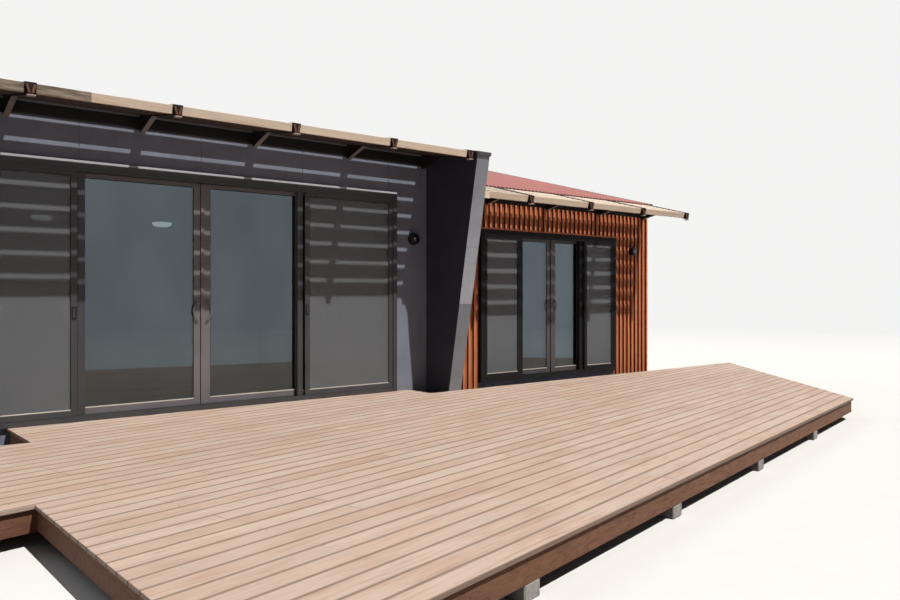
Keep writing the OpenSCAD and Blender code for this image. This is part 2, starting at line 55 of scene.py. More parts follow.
# Roof planes, each a height at the front wall and a pitch, as the solids have them
MAIN_ROOF = (3.117, math.radians(9.2))
SIDE_ROOF = (2.738, math.radians(14.5))
SHEET_LIFT = 0.02
SIDE_SHEET = (SIDE_ROOF[0] + SHEET_LIFT, SIDE_ROOF[1])
SHEETS = {"main": MAIN_ROOF, "side": SIDE_SHEET}
SHEET_T = 0.024
ROOF_T = 0.15
WALL_T = 0.15
# A gap that keeps touching faces apart
HAIR = 0.0005

# Raked end walls and eaves, as the solids have them
FIN_RAKE = math.radians(10.5)
FIN_FOOT = 0.458
FIN_T = 0.2
SLAT_H = 0.084
ARM_RIM = 0.008
GUSSET_H = 0.17
GUSSET_L = 0.34


def local_box(node):
    """The two corners of a CAD node's box, in the building frame."""
    low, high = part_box(node)
    return low - ORIGIN, high - ORIGIN


def roof_z(y, plane):
    """Height of a roof plane's top face at a depth y."""
    top, pitch = plane
    return top + y * math.tan(pitch)


def eave_depth(plane):
    """Depth of an eave's slats and the arm's rim under them, measured upright."""
    return SLAT_H / math.cos(plane[1]) + ARM_RIM


# Materials


class Nodes:
    """The nodes of a material or the world."""

    def __init__(self, owner, output):
        owner.use_nodes = True
        self.tree = owner.node_tree
        self.tree.nodes.clear()
        self.output = self.add(output)

    def link(self, source, node, key):
        """Feeds a node's input from a socket or a value."""
        if isinstance(source, bpy.types.NodeSocket):
            self.tree.links.new(source, node.inputs[key])
        else:
            node.inputs[key].default_value = (*source, 1.0) if node.inputs[key].type == "RGBA" else source

    def add(self, kind, inputs=None, **settings):
        """Adds a node with its settings and inputs."""
        node = self.tree.nodes.new("ShaderNode" + kind)
        for key, value in settings.items():
            setattr(node, key, value)
        for key, source in (inputs or {}).items():
            self.link(source, node, key)
        return node

    def show(self, shader):
        self.link(shader.outputs[0], self.output, "Surface")

    def cover(self, factor, under, over):
        """Shows one shader over another by a factor."""
        self.show(self.add("MixShader", {0: factor, 1: under.outputs[0], 2: over.outputs[0]}))

    def math(self, operation, a, b=0.0):
        return self.add("Math", {0: a, 1: b}, operation=operation).outputs[0]


class Recipe(Nodes):
    """A material on a principled shader, with patterns to colour it."""

    def __init__(self, name, roughness=0.6, metallic=0.0, specular=0.5):
        self.material = bpy.data.materials.new(name)
        super().__init__(self.material, "OutputMaterial")
        self.shader = self.add("BsdfPrincipled", {"Roughness": roughness, "Metallic": metallic,
                                                  "Specular IOR Level": specular})
        self.show(self.shader)

    def place(self, scale=(1, 1, 1), source=None):
        """Object coordinates, or another vector, stretched by a scale."""
        if source is None:
            source = self.add("TexCoord").outputs["Object"]
        return self.add("Mapping", {"Vector": source, "Scale": scale}).outputs[0]

    def parts(self, source=None):
        """The X, Y and Z of a vector, or of the place on the object."""
        return self.add("SeparateXYZ", {"Vector": self.place() if source is None else source}).outputs

    def normal(self):
        return self.parts(self.add("NewGeometry").outputs["Normal"])

    def attribute(self, name, output):
        return self.add("Attribute", attribute_name=name).outputs[output]

    def noise(self, vector, scale, detail=4.0, roughness=0.55, distortion=0.0):
        return self.add("TexNoise", {"Vector": vector, "Scale": scale, "Detail": detail, "Roughness": roughness,
                                     "Distortion": distortion}).outputs["Fac"]

    def ramp(self, factor, *stops):
        """A colour ramp; each stop is a place and a colour."""
        node = self.add("ValToRGB", {"Fac": factor})
        elements = node.color_ramp.elements
        while len(elements) < len(stops):
            elements.new(0.5)
        for element, (place, colour) in zip(elements, stops):
            element.position = place
            element.color = (*colour, 1.0)
        return node.outputs["Color"]

    def mix(self, factor, a, b, blend="MIX"):
        return self.add("Mix", {0: factor, 6: a, 7: b}, data_type="RGBA", blend_type=blend).outputs[2]

    def span(self, factor, low, high, from_low=0.0, from_high=1.0):
        """Maps a factor's range on another range."""
        return self.add("MapRange", {"Value": factor, "From Min": from_low, "From Max": from_high,
                                     "To Min": low, "To Max": high}).outputs[0]

    def colour(self, source):
        self.base = source
        self.link(source, self.shader, "Base Color")

    def rough(self, source):
        self.link(source, self.shader, "Roughness")

    def bump(self, height, distance, strength=1.0):
        node = self.add("Bump", {"Height": height, "Distance": distance, "Strength": strength})
        self.link(node.outputs[0], self.shader, "Normal")


def scaled(colour, factor):
    return tuple(min(1.0, c * factor) for c in colour)


DUST = (0.3, 0.24, 0.18)
DUST_SPAN = (0.1, 1.1)


def painted(name, colour, roughness=0.55, spread=0.12, streak=0.1, grime=0.0, metallic=0.0, specular=0.2):
    """Painted sheet: mottling, faint streaks, and dust towards the ground."""
    r = Recipe(name, roughness, metallic, specular)
    mottle = r.noise(r.place(), 3.1, 6.0)
    streaks = r.noise(r.place((9.0, 9.0, 0.35)), 2.3, 5.0)
    tone = r.ramp(mottle, (0.3, scaled(colour, 1 - spread)), (0.7, scaled(colour, 1 + spread)))
    tone = r.mix(r.span(streaks, 0.0, streak, 0.45, 0.8), tone, scaled(colour, 1.7))
    if grime:
        low = r.span(r.parts()["Z"], grime, 0.0, *DUST_SPAN)
        tone = r.mix(r.math("MULTIPLY", low, mottle), tone, DUST)
    r.colour(tone)
    r.rough(r.span(mottle, roughness - 0.08, roughness + 0.1, 0.3, 0.7))
    r.bump(r.noise(r.place(), 190.0, 2.0), 0.0006, 0.35)
    return r


def toned(recipe, least):
    """Scales a finish's colour by each length's tone attribute, down to a least share."""
    tone = recipe.span(recipe.attribute("tone", "Fac"), least, 1.0)
    shade = recipe.add("CombineColor", dict.fromkeys(("Red", "Green", "Blue"), tone))
    recipe.colour(recipe.mix(1.0, recipe.base, shade.outputs[0], "MULTIPLY"))
    return recipe


# Scales of the patterns along the grain and across it
RINGS = (0.55, 9.0)
PORES = (3.0, 150.0)
KNOTS = (1.1, 5.0)
TONE_SHIFT = 13.7
WOOD_BUMP = 0.0011


def wood(name, light, dark, axis=None, roughness=0.62, knots=0.35, weather=None, tone_spread=0.35, edges=None):
    """Timber: growth rings, pores, knots, a tone for each piece, and greying.

    axis is the one that all pieces run along; without it the mesh's "grain" attribute gives each board's
    own axes. edges gives the first board's start, the boards' pitch and width, and how far in from each board's
    edges it darkens, as dirt and as painted shade at the gaps."""
    r = Recipe(name, roughness, specular=0.3)
    if axis is None:
        base = r.place(source=r.attribute("grain", "Vector"))
        tone = r.attribute("tone", "Fac")
    else:
        base = r.place()
        tone = r.add("NewGeometry").outputs["Random Per Island"]
    shift = r.add("CombineXYZ", dict.fromkeys("XYZ", tone))
    offset = r.add("VectorMath", {0: shift.outputs[0], "Scale": TONE_SHIFT}, operation="SCALE")
    moved = r.add("VectorMath", {0: base, 1: offset.outputs[0]}, operation="ADD").outputs[0]

    def grained(stretch):
        lengthwise, across = stretch
        return r.place(tuple(lengthwise if i == (axis or 0) else across for i in range(3)), moved)

    rings = r.noise(grained(RINGS), 3.4, 6.0, 0.6, 1.3)
    pore = r.noise(grained(PORES), 1.0, 3.0, 0.7)
    patches = r.noise(r.place((1, 1, 1), moved), 1.7, 3.0)
    colour = r.ramp(rings, (0.3, dark), (0.48, scaled(light, 0.82)), (0.66, light), (0.8, scaled(light, 0.9)))
    colour = r.mix(r.span(pore, 0.0, 0.45, 0.5, 0.75), colour, scaled(dark, 0.75))
    cells = r.add("TexVoronoi", {"Vector": grained(KNOTS), "Scale": 1.0, "Randomness": 1.0}, feature="F1")
    colour = r.mix(r.span(cells.outputs["Distance"], knots, 0.0, 0.03, 0.13), colour, scaled(dark, 0.45))
    colour = r.mix(r.span(tone, 0.0, tone_spread), colour, scaled(dark, 1.05))
    colour = r.mix(r.span(patches, 0.0, 0.25, 0.45, 0.75), colour, scaled(light, 1.18))
    if weather:
        grey, amount = weather
        worn = r.noise(r.place((0.7, 2.2, 2.2), moved), 1.9, 5.0, 0.65)
        colour = r.mix(r.span(worn, 0.0, amount, 0.35, 0.65), colour, grey)
    if edges:
        first, pitch, width, dirt_and_shade = edges
        across = r.math("MULTIPLY", r.math("SUBTRACT", r.parts(base)["Y"], first), 1 / pitch)
        away = r.math("ABSOLUTE", r.math("SUBTRACT", r.math("FRACT", across), width / pitch / 2))
        edge = r.span(away, 0.0, 0.75, (width / 2 - dirt_and_shade) / pitch, width / pitch / 2)
        # Darker near each board's edges: dirt, and painted shade at the gaps between boards.
        colour = r.mix(edge, colour, scaled(dark, 0.4))
    r.colour(colour)
    r.rough(r.span(rings, roughness + 0.12, roughness - 0.06, 0.3, 0.7))
    r.bump(r.math("ADD", r.math("MULTIPLY", rings, 0.6), pore), WOOD_BUMP, 0.6)
    return r


# Range of a normal's Y that counts as looking to the front
FRONTAL = (1.0, 0.0, -0.9, -0.5)


def oiled_batten(name):
    """Oiled cedar in its own colour on faces that look to the front or the right; its other faces, in the gaps,
    are painted shade in deep dark red.
    """
    r = wood(name, (0.8, 0.285, 0.135), (0.42, 0.11, 0.05), 2, 0.5, 0.3, None, 0.45)
    normal = r.normal()
    out = r.math("MAXIMUM", r.span(normal["Y"], *FRONTAL), r.span(normal["X"], 0.0, 1.0, 0.9, 0.99))
    # Painted shade: deep dark red on the faces that look neither to the front nor to the right.
    r.colour(r.mix(out, (0.1, 0.018, 0.008), r.base))
    return r


def weathered_slat_with_painted_shade(name, front_y, old_x=None):
    """Slats of bleached wood on their tops and the front board's face; their other faces are painted shade,
    dark brown on the slats behind and orange-brown on the front board.

    Left of old_x the front board is an older, greyer length."""
    r = wood(name, (0.95, 0.79, 0.64), (0.7, 0.5, 0.36), 0, 0.62, 0.3, ((0.84, 0.74, 0.63), 0.5))
    bleached = r.base
    place = r.parts()
    if old_x is not None:
        worn = r.ramp(r.noise(r.place((1.2, 8.0, 8.0)), 3.0, 5.0, 0.65), (0.35, (0.1, 0.075, 0.055)),
                      (0.5, (0.22, 0.18, 0.14)), (0.7, (0.5, 0.42, 0.34)))
        bleached = r.mix(r.math("LESS_THAN", place["X"], old_x), bleached, worn)
    normal = r.normal()
    front = r.math("LESS_THAN", place["Y"], front_y)
    face = r.math("MULTIPLY", r.span(normal["Y"], *FRONTAL), front)
    unshaded_faces = r.math("MAXIMUM", r.span(normal["Z"], 0.0, 1.0, 0.15, 0.55), face)
    # Painted shade: faces other than the tops and the front board's face are dark brown, or orange-brown on the
    # front board.
    r.colour(r.mix(unshaded_faces, r.mix(front, (0.045, 0.03, 0.026), (0.36, 0.19, 0.13)), bleached))
    return r


def coated_glass(name, tint, gloss, mirror):
    """Grey solar glass: a mirror layer over a tinted, see-through pane."""
    r = Recipe(name)
    r.tree.nodes.remove(r.shader)
    film = r.noise(r.place((1.0, 1.0, 0.5)), 1.3, 3.0)
    dust = r.span(film, mirror * 0.85, mirror * 1.15, 0.3, 0.7)
    weight = r.add("LayerWeight", {"Blend": 0.28})
    factor = r.math("ADD", dust, r.math("MULTIPLY", weight.outputs["Fresnel"], 0.6))
    pane = r.add("BsdfTransparent", {"Color": tint})
    r.cover(factor, pane, r.add("BsdfGlossy", {"Color": gloss, "Roughness": 0.0}))
    return r


def glowing(name, colour, glow, strength):
    """Frosted glass with a slightly uneven light behind it."""
    r = Recipe(name, 0.5)
    cloud = r.noise(r.place(), 9.0, 3.0)
    r.colour(r.ramp(cloud, (0.3, scaled(colour, 0.95)), (0.7, colour)))
    r.link(glow, r.shader, "Emission Color")
    r.link(r.span(cloud, strength * 0.9, strength, 0.3, 0.7), r.shader, "Emission Strength")
    return r


THREAD_SCALE = 95.0
THREAD_COVER = (0.34, 0.56)


def insect_mesh(name, dark, light):
    """Woven fibre mesh: dark threads over what lies behind."""
    r = Recipe(name, 0.7)
    weave = r.math("MAXIMUM", *(
        r.add("TexWave", {"Vector": r.place(), "Scale": THREAD_SCALE}, wave_type="BANDS", bands_direction=way)
        .outputs["Fac"] for way in "XZ"))
    r.colour(r.ramp(weave, (0.2, dark), (0.9, light)))
    r.cover(r.span(weave, *THREAD_COVER), r.add("BsdfTransparent"), r.shader)
    return r


WAVE = 0.076
WAVE_DEPTH = 0.018
WAVE_STEPS = 8


def corrugation(node):
    """Left edge, true pitch and number of the waves across a roof node."""
    low, high = local_box(node)
    count = round((high.x - low.x) / WAVE)
    return low.x, (high.x - low.x) / count, count


def roof_paint(name, colour, node):
    """Sun-faded paint on corrugated steel: pale patches, rust runs, and painted shade that darkens the troughs.
    """
    r = Recipe(name, 0.5, 0.1)
    fade = r.noise(r.place(), 0.9, 5.0)
    runs = r.noise(r.place((14.0, 0.7, 0.7)), 1.6, 5.0)
    tone = r.ramp(fade, (0.3, scaled(colour, 0.85)), (0.7, scaled(colour, 1.15)))
    tone = r.mix(r.span(runs, 0.0, 0.4, 0.5, 0.75), tone, (0.3, 0.1, 0.06))
    left, pitch, _ = corrugation(node)
    across = r.math("MULTIPLY", r.math("SUBTRACT", r.parts()["X"], left + ORIGIN.x), 2 * math.pi / pitch)
    # Painted shade: the troughs of the waves are darkened.
    trough = r.span(r.math("COSINE", across), 1.0, 0.0, -0.9, 0.2)
    r.colour(r.mix(r.math("MULTIPLY", trough, 0.62), tone, scaled(colour, 0.36)))
    r.rough(r.span(fade, 0.42, 0.6, 0.3, 0.7))
    r.bump(r.noise(r.place(), 160.0, 2.0), 0.0006, 0.3)
    return r


def concrete(name, dark, light):
    r = Recipe(name, 0.85)
    grain = r.noise(r.place(), 28.0, 6.0)
    r.colour(r.ramp(grain, (0.3, dark), (0.7, light)))
    r.bump(grain, 0.003, 0.5)
    return r


BOARD_W = 0.136
BOARD_GAP = 0.0085
BOARD_PITCH = BOARD_W + BOARD_GAP
BOARD_T = 0.025
BUTT_GAP = 0.003
JOIST_PITCH = 0.6
JOIST_T = 0.038
DECK_SKEW = math.radians(12.0)
ALONG = Vector((math.cos(DECK_SKEW), math.sin(DECK_SKEW), 0.0))
ACROSS = Vector((-math.sin(DECK_SKEW), math.cos(DECK_SKEW), 0.0))
UP = Vector((0, 0, 1))


def board_front():
    """How far out the deck's front edge lies, across the boards."""
    return min((v.co - ORIGIN).dot(ACROSS) for v in NODES["deck_boards"].data.vertices)


RED = (0.39, 0.132, 0.116)
RECIPES = {
    "cladding": painted("charcoal_panel", (0.208, 0.228, 0.295), 0.58, 0.1, 0.08, 0.1),
    # The end walls' panels are the walls' charcoal painted much darker, as shade.
    "fin_face": painted("charcoal_fin_painted_shade", (0.046, 0.049, 0.068), 0.6, 0.12, 0.1, 0.08, specular=0.1),
    "fin_edge": toned(painted("grey_edge_trim", (0.405, 0.435, 0.5), 0.5, 0.1, 0.08, 0.06), 0.48),
    "cap": painted("dark_flashing", (0.05, 0.05, 0.056), 0.42, 0.1, 0.12, specular=0.4),
    "main_frame": painted("dark_bronze", (0.056, 0.056, 0.062), 0.45, 0.1, 0.05, 0.04, specular=0.25),
    # The side door's frames and leaves: the main door's finishes painted darker, as shade.
    "side_frame": painted("bronze_painted_shade", (0.016, 0.015, 0.017), 0.6, 0.1, 0.05, 0.04, specular=0.08),
    "leaf": painted("purple_grey_frame", (0.165, 0.15, 0.168), 0.42, 0.1, 0.06, 0.04, specular=0.3),
    "side_leaf": painted("shaded_purple_frame", (0.075, 0.066, 0.072), 0.42, 0.1, 0.06, 0.04, specular=0.35),
    "bead": painted("pale_sill_bead", (0.62, 0.58, 0.5), 0.4, 0.1, 0.05, specular=0.4),
    "rubber": painted("black_rubber", (0.012, 0.012, 0.012), 0.6, 0.15, 0.0),
    "black": painted("satin_black", (0.01, 0.01, 0.011), 0.3, 0.15, 0.0),
    "steel": painted("brushed_steel", (0.42, 0.42, 0.43), 0.32, 0.08, 0.05, metallic=0.9),
    "arm": painted("dark_brown_steel", (0.022, 0.016, 0.015), 0.55, 0.25, 0.12, specular=0.12),
    # Gusset flanges: the dark arm steel painted light grey, as light caught from below.
    "flange": painted("grey_steel_painted_light", (0.22, 0.2, 0.2), 0.5, 0.25, 0.2),
    # Arm lips and the end walls' cap edges: the dark steel painted pale, as light on the lips and as a
    # highlight along the caps' edges.
    "lip": painted("pale_steel_painted_light", (0.42, 0.34, 0.32), 0.5, 0.15, 0.1),
    "strip": painted("blue_grey_strip", (0.16, 0.18, 0.21), 0.45, 0.15, 0.1, specular=0.4),
    # Black that stands in for shade: fascia plates under the main eave, the side roof's purlins and its front
    # closure.
    "fascia": painted("black_painted_shade", (0.018, 0.017, 0.019), 0.5, 0.2, 0.1, specular=0.15),
    "head_trim": painted("blue_grey_trim", (0.42, 0.42, 0.46), 0.42, 0.1, 0.08, specular=0.35),
    "flashing": painted("folded_flashing", (0.1, 0.095, 0.1), 0.45, 0.12, 0.15, specular=0.35),
    "rust": painted("rust_brown_steel", (0.17, 0.075, 0.05), 0.6, 0.25, 0.22),
    "membrane": painted("black_membrane", (0.012, 0.01, 0.01), 0.8, 0.15, 0.0, specular=0.1),
    "lining": painted("pale_lining", (0.46, 0.45, 0.43), 0.7, 0.04, 0.02),
    "lamp_glass": painted("dark_dome_lens", (0.02, 0.02, 0.02), 0.16, 0.03, 0.0, specular=1.0),
    "glass": coated_glass("grey_solar_glass", (0.3, 0.335, 0.345), (0.68, 0.8, 0.88), 0.115),
    "lamp_disc": glowing("frosted_disc", (0.8, 0.78, 0.74), (1.0, 0.97, 0.9), 2.6),
    "mesh": insect_mesh("insect_mesh", (0.136, 0.146, 0.16), (0.2, 0.214, 0.234)),
    "main_roof": roof_paint("faded_red_roof_main", RED, "main_roof_sheet"),
    "side_roof": roof_paint("faded_red_roof_side", RED, "side_roof_sheet"),
    "main_slat": weathered_slat_with_painted_shade("main_slat", ORIGIN.y - 0.86, ORIGIN.x - 1.37),
    "side_slat": weathered_slat_with_painted_shade("side_slat", ORIGIN.y - 0.762),
    "batten": oiled_batten("oiled_cedar"),
    # The backing is cedar painted darker than the battens, as shade in the gaps between them.
    "backing": wood("cedar_backing", (0.5, 0.175, 0.072), (0.29, 0.082, 0.034), 2, 0.55, 0.3, None, 0.4),
    "deck": wood("weathered_deck", (0.64, 0.475, 0.385), (0.4, 0.255, 0.185), None, 0.68, 0.4,
                 ((0.59, 0.5, 0.44), 0.5), 0.6, (board_front(), BOARD_PITCH, BOARD_W, 0.012)),
    "joist": wood("red_brown_joist", (0.24, 0.115, 0.068), (0.12, 0.05, 0.03), 0, 0.7, 0.3),
    "floor": wood("oak_floor", (0.34, 0.22, 0.13), (0.2, 0.12, 0.07), 0, 0.45, 0.2),
    "concrete": concrete("cast_concrete", (0.28, 0.26, 0.24), (0.46, 0.44, 0.41)),
}

# Pieces of geometry

WELD = 1e-5
BEVEL_ANGLE = math.radians(40)
# Bevel of small parts, and angle up to which round ones are smoothed
FINE = 0.001
ROUND = 35


def bevelled(obj, width):
    """Rounds a piece's edges a little."""
    modifier = obj.modifiers.new("bevel", "BEVEL")
    modifier.width = width
    modifier.segments = 1
    modifier.limit_method = "ANGLE"
    modifier.angle_limit = BEVEL_ANGLE


def added(name, data):
    """A new object in the scene."""
    obj = bpy.data.objects.new(name, data)
    bpy.context.scene.collection.objects.link(obj)
    return obj


def solids(node):
    """The boxes of a CAD node's separate solids, from left to right."""
    bm = bmesh.new()
    bm.from_mesh(NODES[node].data)
    bmesh.ops.remove_doubles(bm, verts=bm.verts[:], dist=WELD)
    seen, boxes = set(), []
    for vert in bm.verts:
        island, queue = [], [vert]
        while queue:
            here = queue.pop()
            if here not in seen:
                seen.add(here)
                island.append(here.co - ORIGIN)
                queue += [edge.other_vert(here) for edge in here.link_edges]
        if island:
            boxes.append([Vector([pick(p[i] for p in island) for i in range(3)]) for pick in (min, max)])
    bm.free()
    return sorted(boxes, key=lambda box: box[0].x)


class Maker:
    """Collects a piece's closed solids, each with a tone and grain coordinates along its own axes."""

    def __init__(self):
        self.bm = bmesh.new()
        self.grain = self.bm.verts.layers.float_vector.new("grain")
        self.tone = self.bm.verts.layers.float.new("tone")

    def loft(self, rings, tone=0.5, axes=(Vector((1, 0, 0)), Vector((0, 1, 0)), UP)):
        """A closed solid through rings of points; tone is one value or one for each ring."""
        tones = tone if isinstance(tone, tuple) else (tone,) * len(rings)
        made = []
        for ring, shade in zip(rings, tones):
            made.append([])
            for point in map(Vector, ring):
                vert = self.bm.verts.new(point + ORIGIN)
                vert[self.grain] = tuple(point.dot(axis) for axis in axes)
                vert[self.tone] = shade
                made[-1].append(vert)
        for a, b in zip(made, made[1:]):
            for i in range(len(a)):
                j = (i + 1) % len(a)
                self.bm.faces.new((a[i], a[j], b[j], b[i]))
        self.bm.faces.new(tuple(reversed(made[0])))
        self.bm.faces.new(made[-1])

    def box(self, low, high, tone=0.5):
        (x0, y0, z0), (x1, y1, z1) = low, high
        ring = [(x0, y0), (x1, y0), (x1, y1), (x0, y1)]
        self.loft([[(x, y, z) for x, y in ring] for z in (z0, z1)], tone)

    def along_x(self, x0, x1, outline):
        """An outline given as (y, z) points, extruded from x0 to x1."""
        self.loft([[(x, y, z) for y, z in outline] for x in (x0, x1)])

    def along_y(self, y0, y1, outline):
        """An outline given as (x, z) points, extruded from y0 to y1."""
        self.loft([[(x, y, z) for x, z in outline] for y in (y0, y1)])

    def band(self, x0, x1, stations):
        """A band from x0 to x1 through stations, each a depth y with its foot and top."""
        self.loft([[(x0, y, z0), (x1, y, z0), (x1, y, z1), (x0, y, z1)] for y, z0, z1 in stations])

    def round_bar(self, start, end, radius, sides=12):
        way = Vector(end) - Vector(start)
        self.lathe(start, way.to_track_quat("Z", "Y"), [(radius, 0.0), (radius, way.length)], sides)

    def frame(self, low, high, bar, y0, y1):
        """A rectangular frame of one bar width in the x-z plane, with mitred corners."""
        (x0, z0), (x1, z1) = low, high
        outer = [(x0, z0), (x1, z0), (x1, z1), (x0, z1)]
        inner = [(x0 + bar, z0 + bar), (x1 - bar, z0 + bar), (x1 - bar, z1 - bar), (x0 + bar, z1 - bar)]
        for i in range(4):
            j = (i + 1) % 4
            self.along_y(y0, y1, [outer[i], outer[j], inner[j], inner[i]])

    def lathe(self, centre, turn, profile, sides=48):
        """A profile of (radius, height) points spun about an axis through centre."""
        angles = [2 * math.pi * i / sides for i in range(sides)]
        self.loft([[Vector(centre) + turn @ Vector((radius * math.cos(a), radius * math.sin(a), height))
                    for a in angles] for radius, height in profile])

    def make(self, name, recipe, slot, body=CABIN, replaces=(), bevel=0.0, smooth=0.0):
        bmesh.ops.recalc_face_normals(self.bm, faces=self.bm.faces[:])
        mesh = bpy.data.meshes.new(name)
        self.bm.to_mesh(mesh)
        self.bm.free()
        mesh.materials.append(RECIPES[recipe].material)
        obj = added(name, mesh)
        if bevel:
            bevelled(obj, bevel)
        if smooth:
            mesh.shade_smooth()
            mesh.set_sharp_from_angle(angle=math.radians(smooth))
        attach(obj, body)
        if replaces:
            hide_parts(*replaces)


# CAD nodes that keep their shape

DRESS = {
    "cladding": "main_floor side_floor main_front_wall_left main_front_wall_right main_front_header "
                "main_back_wall main_roof_panel side_roof_panel side_back_wall",
    "fin_face": "main_left_end_wall main_right_end_wall",
    "cap": "main_end_wall_caps",
    "membrane": "side_front_wall_left side_front_wall_right side_front_header side_end_wall",
    "arm": "main_eave_arms side_eave_arms side_eave_ledger",
    "main_slat": "main_eave_slats",
    "side_slat": "side_eave_slats",
    "batten": "side_corner_board",
    "joist": "deck_frame",
    "concrete": "deck_piers",
    "main_frame": "main_door_frame main_door_tracks",
    "side_frame": "side_door_frame side_door_tracks",
    "leaf": "main_sliding_frame_left main_sliding_frame_right",
    "side_leaf": "side_sliding_frame_left side_sliding_frame_right",
    "glass": "main_fixed_glass main_sliding_glass_left main_sliding_glass_right "
             "side_fixed_glass side_sliding_glass_left side_sliding_glass_right",
}
EASE = {
    0.001: "main_front_header main_back_wall",
    0.002: "main_eave_arms side_eave_arms main_end_wall_caps",
    0.0025: "main_door_frame side_door_frame",
    0.003: "main_eave_slats side_eave_slats side_corner_board side_eave_ledger deck_frame",
    0.006: "deck_piers",
}
for recipe, nodes in DRESS.items():
    for node in nodes.split():
        mesh = NODES[node].data
        mesh.materials.clear()
        mesh.materials.append(RECIPES[recipe].material)
        for polygon in mesh.polygons:
            polygon.material_index = 0
for width, nodes in EASE.items():
    for node in nodes.split():
        NODES[node].modifiers.new("weld", "WELD").merge_threshold = 5 * WELD
        bevelled(NODES[node], width)


# Deck

DECK_SEED = 7
BOARD_SEED = 11
BOARD_UNEVEN = 0.0012
SPECK = 1e-4
SCREW_ASIDE = 0.04
SCREW_STRAY = 0.004
SCREW_R = 0.0042
SCREW_DEPTH = 0.004
SCREW_SINK = 0.0004
SCREW_CLEAR = 0.012


def cut(bm, faces, place, normal):
    """Splits faces along a plane through a place in the row frame."""
    geometry = set(faces)
    for face in faces:
        geometry.update(face.edges, face.verts)
    bmesh.ops.bisect_plane(bm, geom=list(geometry), dist=1e-6, plane_co=place, plane_no=normal)


def board_outlines():
    """Plan outlines of the deck boards, in rows cut at their butt joints."""
    rng = random.Random(DECK_SEED)
    bm = bmesh.new()
    bm.from_mesh(NODES["deck_boards"].data)
    bmesh.ops.remove_doubles(bm, verts=bm.verts[:], dist=WELD)
    bmesh.ops.delete(bm, geom=[f for f in bm.faces if f.normal.z < 0.5], context="FACES")
    bmesh.ops.dissolve_faces(bm, faces=bm.faces[:])
    front = board_front()
    back = max((v.co - ORIGIN).dot(ACROSS) for v in bm.verts)
    for row in range(1, math.ceil((back - front) / BOARD_PITCH)):
        for edge in (row * BOARD_PITCH, row * BOARD_PITCH - BOARD_GAP):
            cut(bm, bm.faces[:], ORIGIN + ACROSS * (front + edge), ACROSS)

    def row_of(face):
        return ((face.calc_center_median() - ORIGIN).dot(ACROSS) - front) / BOARD_PITCH

    gaps = [f for f in bm.faces if row_of(f) % 1 > 0.99 or f.calc_area() < SPECK]
    bmesh.ops.delete(bm, geom=gaps, context="FACES")
    for face in bm.faces[:]:
        reach = [(v.co - ORIGIN).dot(ALONG) for v in face.verts]
        joint = math.ceil(min(reach) / JOIST_PITCH) * JOIST_PITCH + JOIST_T / 2
        joint += JOIST_PITCH * rng.randint(1, 6)
        pieces = [face]
        while joint < max(reach) - JOIST_PITCH:
            for shift in (-BUTT_GAP / 2, BUTT_GAP / 2):
                before = set(bm.faces)
                cut(bm, [f for f in pieces if f.is_valid], ORIGIN + ALONG * (joint + shift), ALONG)
                pieces = [f for f in pieces if f.is_valid] + [f for f in bm.faces if f not in before]
            joint += JOIST_PITCH * rng.randint(5, 7)
    outlines = [[v.co - ORIGIN for v in f.verts] for f in bm.faces if f.calc_area() > BUTT_GAP * BOARD_W * 1.5]
    bm.free()
    return outlines


def inside(outline, point):
    """True if a point lies well inside a convex plan outline."""
    for a, b in zip(outline, outline[1:] + outline[:1]):
        side = (b - a).normalized()
        if side.x * (point.y - a.y) - side.y * (point.x - a.x) < SCREW_CLEAR:
            return False
    return True


def deck():
    rng = random.Random(BOARD_SEED)
    boards, screws = Maker(), Maker()
    for outline in board_outlines():
        tone = rng.random()
        lift = rng.uniform(0.0, BOARD_UNEVEN)
        boards.loft([[(p.x, p.y, z) for p in outline] for z in (-BOARD_T, -lift)], tone, (ALONG, ACROSS, UP))
        reach = [p.dot(ALONG) for p in outline]
        width = [p.dot(ACROSS) for p in outline]
        middle = (min(width) + max(width)) / 2
        for joist in range(math.ceil(min(reach) / JOIST_PITCH), math.floor(max(reach) / JOIST_PITCH) + 1):
            for side in (-SCREW_ASIDE, SCREW_ASIDE):
                at = ALONG * (joist * JOIST_PITCH + JOIST_T / 2) + ACROSS * (middle + side)
                at += ALONG * rng.uniform(-SCREW_STRAY, SCREW_STRAY)
                if inside(outline, at):
                    screws.round_bar(at - UP * SCREW_DEPTH, at - UP * (lift - SCREW_SINK), SCREW_R, 6)
    boards.make("deck_planks", "deck", "deck_timber", replaces=["deck_boards"], bevel=0.002)
    screws.make("deck_screws", "steel", "pier")


# Roofs

SHEET_GAUGE = 0.0012
SHEET_ROWS = 4
ROW_PITCH = 0.9
ROW_INSET = 0.05
HEAD_EVERY = 3
HEAD_R = 0.007
HEAD_SPAN = (0.004, 0.0002)
PURLIN_HALF = 0.03
PURLIN_SHORT = 0.005
PURLIN_TOP = 0.0205


def wave_columns(node, drop):
    """Places across a roof node, each with how far the wave lies under its crest there."""
    left, pitch, count = corrugation(node)
    turns = [i / WAVE_STEPS for i in range(count * WAVE_STEPS + 1)]
    return [(left + pitch * i, WAVE_DEPTH * (0.5 - 0.5 * math.cos(2 * math.pi * i)) + drop) for i in turns]


def corrugated(module, plane):
    """A corrugated sheet in the place of a roof node."""
    node = f"{module}_roof_sheet"
    low, high = local_box(node)
    upper = wave_columns(node, HAIR)
    outline = upper + [(x, under + SHEET_GAUGE) for x, under in reversed(upper)]
    depths = [low.y + (high.y - low.y) * i / SHEET_ROWS for i in range(SHEET_ROWS + 1)]
    sheet = Maker()
    sheet.loft([[(x, y, roof_z(y, plane) - under) for x, under in outline] for y in depths])
    sheet.make(f"{module}_corrugated_sheet", f"{module}_roof", "roof_sheet", replaces=[node], smooth=50)


